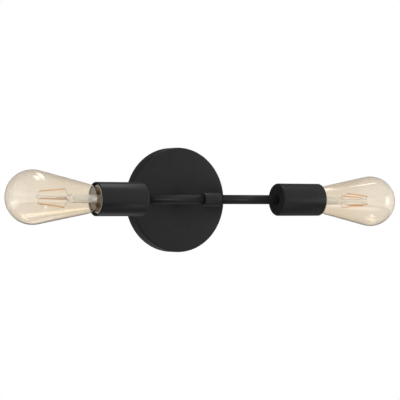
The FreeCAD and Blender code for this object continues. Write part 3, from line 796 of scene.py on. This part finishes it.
phosphorSettings = {
    "name": "orangePhosphor",
    "colour": (0.98, 0.56, 0.25),
    "lighter": (1.00, 0.69, 0.38),
    "roughness": (0.30, 0.42),
    "clear": 0.9,
    "bending": 1.15,
    "bump": 0.3,
    "bumpDepth": 0.05 * mm,
    "grain": {"Fine Scale": 900.0, "Broad Scale": 420.0, "Broad Share": 0.6},
}


def makePhosphor(settings):
    # orange silicone over the strip of diodes, unevenly thick along its length
    material, tree, shader = newFinish(settings["name"], settings["colour"], settings["roughness"][0])
    shader.inputs["Transmission Weight"].default_value = settings["clear"]
    shader.inputs["IOR"].default_value = settings["bending"]
    grain = useGroup(tree, grainGroup, settings["grain"])
    tree.links.new(mottle(tree, grain, settings["colour"], settings["lighter"]), shader.inputs["Base Color"])
    roughen(tree, shader, grain, settings)
    return material


boardSettings = {
    "name": "circuitBoard",
    "colour": (0.02, 0.16, 0.06),
    "lighter": (0.03, 0.20, 0.08),
    "tracks": (0.10, 0.32, 0.14),
    "cellScale": 260.0,
    "roughness": (0.32, 0.50),
    "bump": 0.4,
    "bumpDepth": 0.05 * mm,
    "grain": {"Fine Scale": 1200.0, "Broad Scale": 200.0, "Broad Share": 0.5},
}


def makeBoard(settings):
    # green board with paler tracks in a small grid of cells
    material, tree, shader = newFinish(settings["name"], settings["colour"], settings["roughness"][0])
    place = tree.nodes.new("ShaderNodeTexCoord")
    cells = tree.nodes.new("ShaderNodeTexBrick")
    cells.inputs["Scale"].default_value = settings["cellScale"]
    for label, colourName in (("Color1", "colour"), ("Color2", "lighter"), ("Mortar", "tracks")):
        cells.inputs[label].default_value = (*settings[colourName], 1)
    tree.links.new(place.outputs["Object"], cells.inputs["Vector"])
    tree.links.new(cells.outputs["Color"], shader.inputs["Base Color"])
    grain = useGroup(tree, grainGroup, settings["grain"])
    tree.links.new(spread(tree, grain.outputs["Mask"], *settings["roughness"]), shader.inputs["Roughness"])
    addBump(tree, shader, cells.outputs["Fac"], settings["bump"], settings["bumpDepth"])
    return material


finishes = {
    "black_metal": makeBlackPaint(blackPaint),
    "board": makeBoard(boardSettings),
    "amber_glass": makeGlass(amberGlassSettings),
    "clear_glass": makeGlass(clearGlassSettings),
    "phosphor": makePhosphor(phosphorSettings),
}
for slotName, values in metals.items():
    finishes[slotName] = makeMetal({**metalShared, **values})
for slotName, values in coats.items():
    finishes[slotName] = makeCoated({**coatShared, **values})
slotOf = {entry["node"]: entry["material_slot"] for entry in frame["record"]["subparts"]}

for nodeName, node in nodes.items():
    for slotHolder in node.material_slots:
        slotHolder.material = finishes[slotOf[nodeName]]
print("stage: finishes on every node")


bodyOf = {}
for bodyName, members in frame["record"]["behaviour"]["bodies"].items():
    for member in members:
        bodyOf[member] = bodyName
dressed = set()  # the nodes that a piece of this script stands for


def finishPiece(piece, nodeName):
    # gives a piece the finish, body and slot of the node that it stands for
    slotName = slotOf[nodeName]
    piece.data.materials.clear()
    piece.data.materials.append(finishes[slotName])
    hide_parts(nodeName)
    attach(piece, bodyOf[nodeName])
    dressed.add(nodeName)


# Canopy: a turned dish with a rounded front edge and a small break on its rear rim

canopySettings = {
    "wall": 1.2 * mm,
    "edge": 2.0 * mm,
    "rim": 0.4 * mm,
    "hole": 5.1 * mm,
    "screwHole": 4.4 * mm,
    "screwHeight": 9.0 * mm,
    "drillSides": 32,
    "cornerSegments": 5,
    "steps": 192,
    "smoothDegrees": 35,
}


def drillRim(canopy, settings):
    # one drill through both sides of the rim, where the canopy screws go
    pickNothing()
    bpy.ops.mesh.primitive_cylinder_add(vertices=settings["drillSides"], radius=settings["screwHole"] / 2,
                                        depth=canopy.dimensions.x * 2,
                                        location=(0, -settings["screwHeight"], 0),
                                        rotation=(0, math.radians(90), 0))
    drill = bpy.context.object
    cut = canopy.modifiers.new("screwHoles", "BOOLEAN")
    cut.operation = "DIFFERENCE"
    cut.solver = "EXACT"
    cut.object = drill
    applyAll(canopy)
    bpy.data.objects.remove(drill)
    cleanMesh(canopy)


def modelCanopy(settings):
    low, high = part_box("canopy")
    radius = (high.z - low.z) / 2
    depth = high.y - low.y
    wall = settings["wall"]
    inside = settings["edge"] - wall
    corners = [(0, radius, settings["rim"]), (depth, radius, settings["edge"]),
               (depth, settings["hole"], settings["rim"]), (depth - wall, settings["hole"], 0),
               (depth - wall, radius - wall, inside), (0, radius - wall, settings["rim"])]
    profile = roundedProfile(corners, settings["cornerSegments"])
    canopy = turnedFromWall("canopyDish", profile, settings["steps"])
    drillRim(canopy, settings)
    smoothPiece(canopy, settings["smoothDegrees"])
    finishPiece(canopy, "canopy")


modelCanopy(canopySettings)
print("stage: canopy modelled")


# Lamp glass: a sphere, a straight taper, and a neck that goes down into the base

glassSettings = {
    "wall": 0.9 * mm,
    "taperDegrees": 11.8,
    "taperEnd": 15.4 * mm,
    "neckRadius": 13.2 * mm,
    "neckAboveRim": 2.0 * mm,
    "footRadius": 10.8 * mm,
    "footDepth": 12.0 * mm,
    "diameter": 61.5 * mm,
    "tipToEnd": 139.5 * mm,
    "lean": {"left": 1.3, "right": 1.1},
    "steps": 128,
    "sphereRings": 30,
    "taperRings": 8,
    "neckRings": 10,
    "smoothDegrees": 50,
}


def lampPlaces(side):
    # distances from the fixture's middle along the bar: the lamp's tip, its base's rim and the cup's mouth
    def ends(nodeName):
        low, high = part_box(side + nodeName)
        return sorted((abs(low.x), abs(high.x)))

    return ends("_lamp_contact")[0], ends("_lamp_base")[1], ends("_cup")[1]


def tangentArc(start, way, end, rings):
    # points of an arc that leaves start along way and reaches end
    start, way, end = Vector(start), Vector(way).normalized(), Vector(end)
    normal = Vector((-way.y, way.x))
    chord = end - start
    radius = chord.length_squared / (2 * normal.dot(chord))
    centre = start + normal * radius
    first = start - centre
    sweep = first.angle_signed(end - centre)
    points = []
    for k in range(1, rings + 1):
        turn = Matrix.Rotation(-sweep * k / rings, 2)
        points.append(tuple(centre + turn @ first))
    return points


def glassOutline(settings, side, inset):
    tip, rim, mouth = lampPlaces(side)
    radius = settings["diameter"] / 2 - inset
    centre = tip + settings["tipToEnd"] - settings["diameter"] / 2
    taper = math.radians(settings["taperDegrees"])
    points = []
    for k in range(settings["sphereRings"] + 1):
        angle = (math.pi / 2 + taper) * k / settings["sphereRings"]
        points.append((centre + radius * math.cos(angle), radius * math.sin(angle)))
    shoulder = points[-1]
    run = (shoulder[0] - mouth - settings["taperEnd"]) / math.cos(taper)
    taperEnd = (shoulder[0] - run * math.cos(taper), shoulder[1] - run * math.sin(taper))
    for k in range(1, settings["taperRings"] + 1):
        points.append(tuple(Vector(shoulder).lerp(Vector(taperEnd), k / settings["taperRings"])))
    neck = (rim + settings["neckAboveRim"], settings["neckRadius"] - inset)
    points += tangentArc(taperEnd, (-math.cos(taper), -math.sin(taper)), neck, settings["neckRings"])
    foot = settings["footRadius"] - inset
    points += [(rim, foot), (rim - settings["footDepth"], foot)]
    return points


def leanPiece(piece, side, settings):
    # the glass leans about the rim of its base
    rim = lampPlaces(side)[1]
    pivot = Vector((sides[side] * rim, barAxis.y, 0))
    editStart(piece)
    bpy.ops.mesh.select_all(action="SELECT")
    bpy.ops.transform.rotate(value=-math.radians(settings["lean"][side]), orient_axis="Y",
                             center_override=pivot)
    editEnd()


def modelGlass(side, settings):
    outer = glassOutline(settings, side, 0)
    inner = glassOutline(settings, side, settings["wall"])
    glass = turnedAlongBar(side + "Globe", onSide(side, outer + inner[::-1]), settings["steps"])
    leanPiece(glass, side, settings)
    smoothPiece(glass, settings["smoothDegrees"])
    finishPiece(glass, side + "_lamp_glass")


for sideName in sides:
    modelGlass(sideName, glassSettings)
print("stage: globes modelled")


# Machined and moulded pieces whose shape is already right: a merged copy, smooth across its curves

copySettings = {
    "mergeGap": 0.001 * mm,
    "smoothDegrees": 30,
    "fullNames": {"crossbar": "crossbarStrap", "stem": "stemTube", "tee": "teeCoupling"},
}


def pieceName(nodeName, settings):
    first, *others = nodeName.split("_")
    return settings["fullNames"].get(nodeName, first + "".join(word.capitalize() for word in others))


def smoothCopy(nodeName, settings):
    piece = bpy.data.objects.new(pieceName(nodeName, settings), nodes[nodeName].data.copy())
    bpy.context.scene.collection.objects.link(piece)
    editStart(piece)
    bpy.ops.mesh.select_all(action="SELECT")
    bpy.ops.mesh.remove_doubles(threshold=settings["mergeGap"])
    editEnd()
    smoothPiece(piece, settings["smoothDegrees"])
    finishPiece(piece, nodeName)


for nodeName in sorted(set(nodes) - dressed):
    smoothCopy(nodeName, copySettings)
print("stage: the other nodes copied smooth")
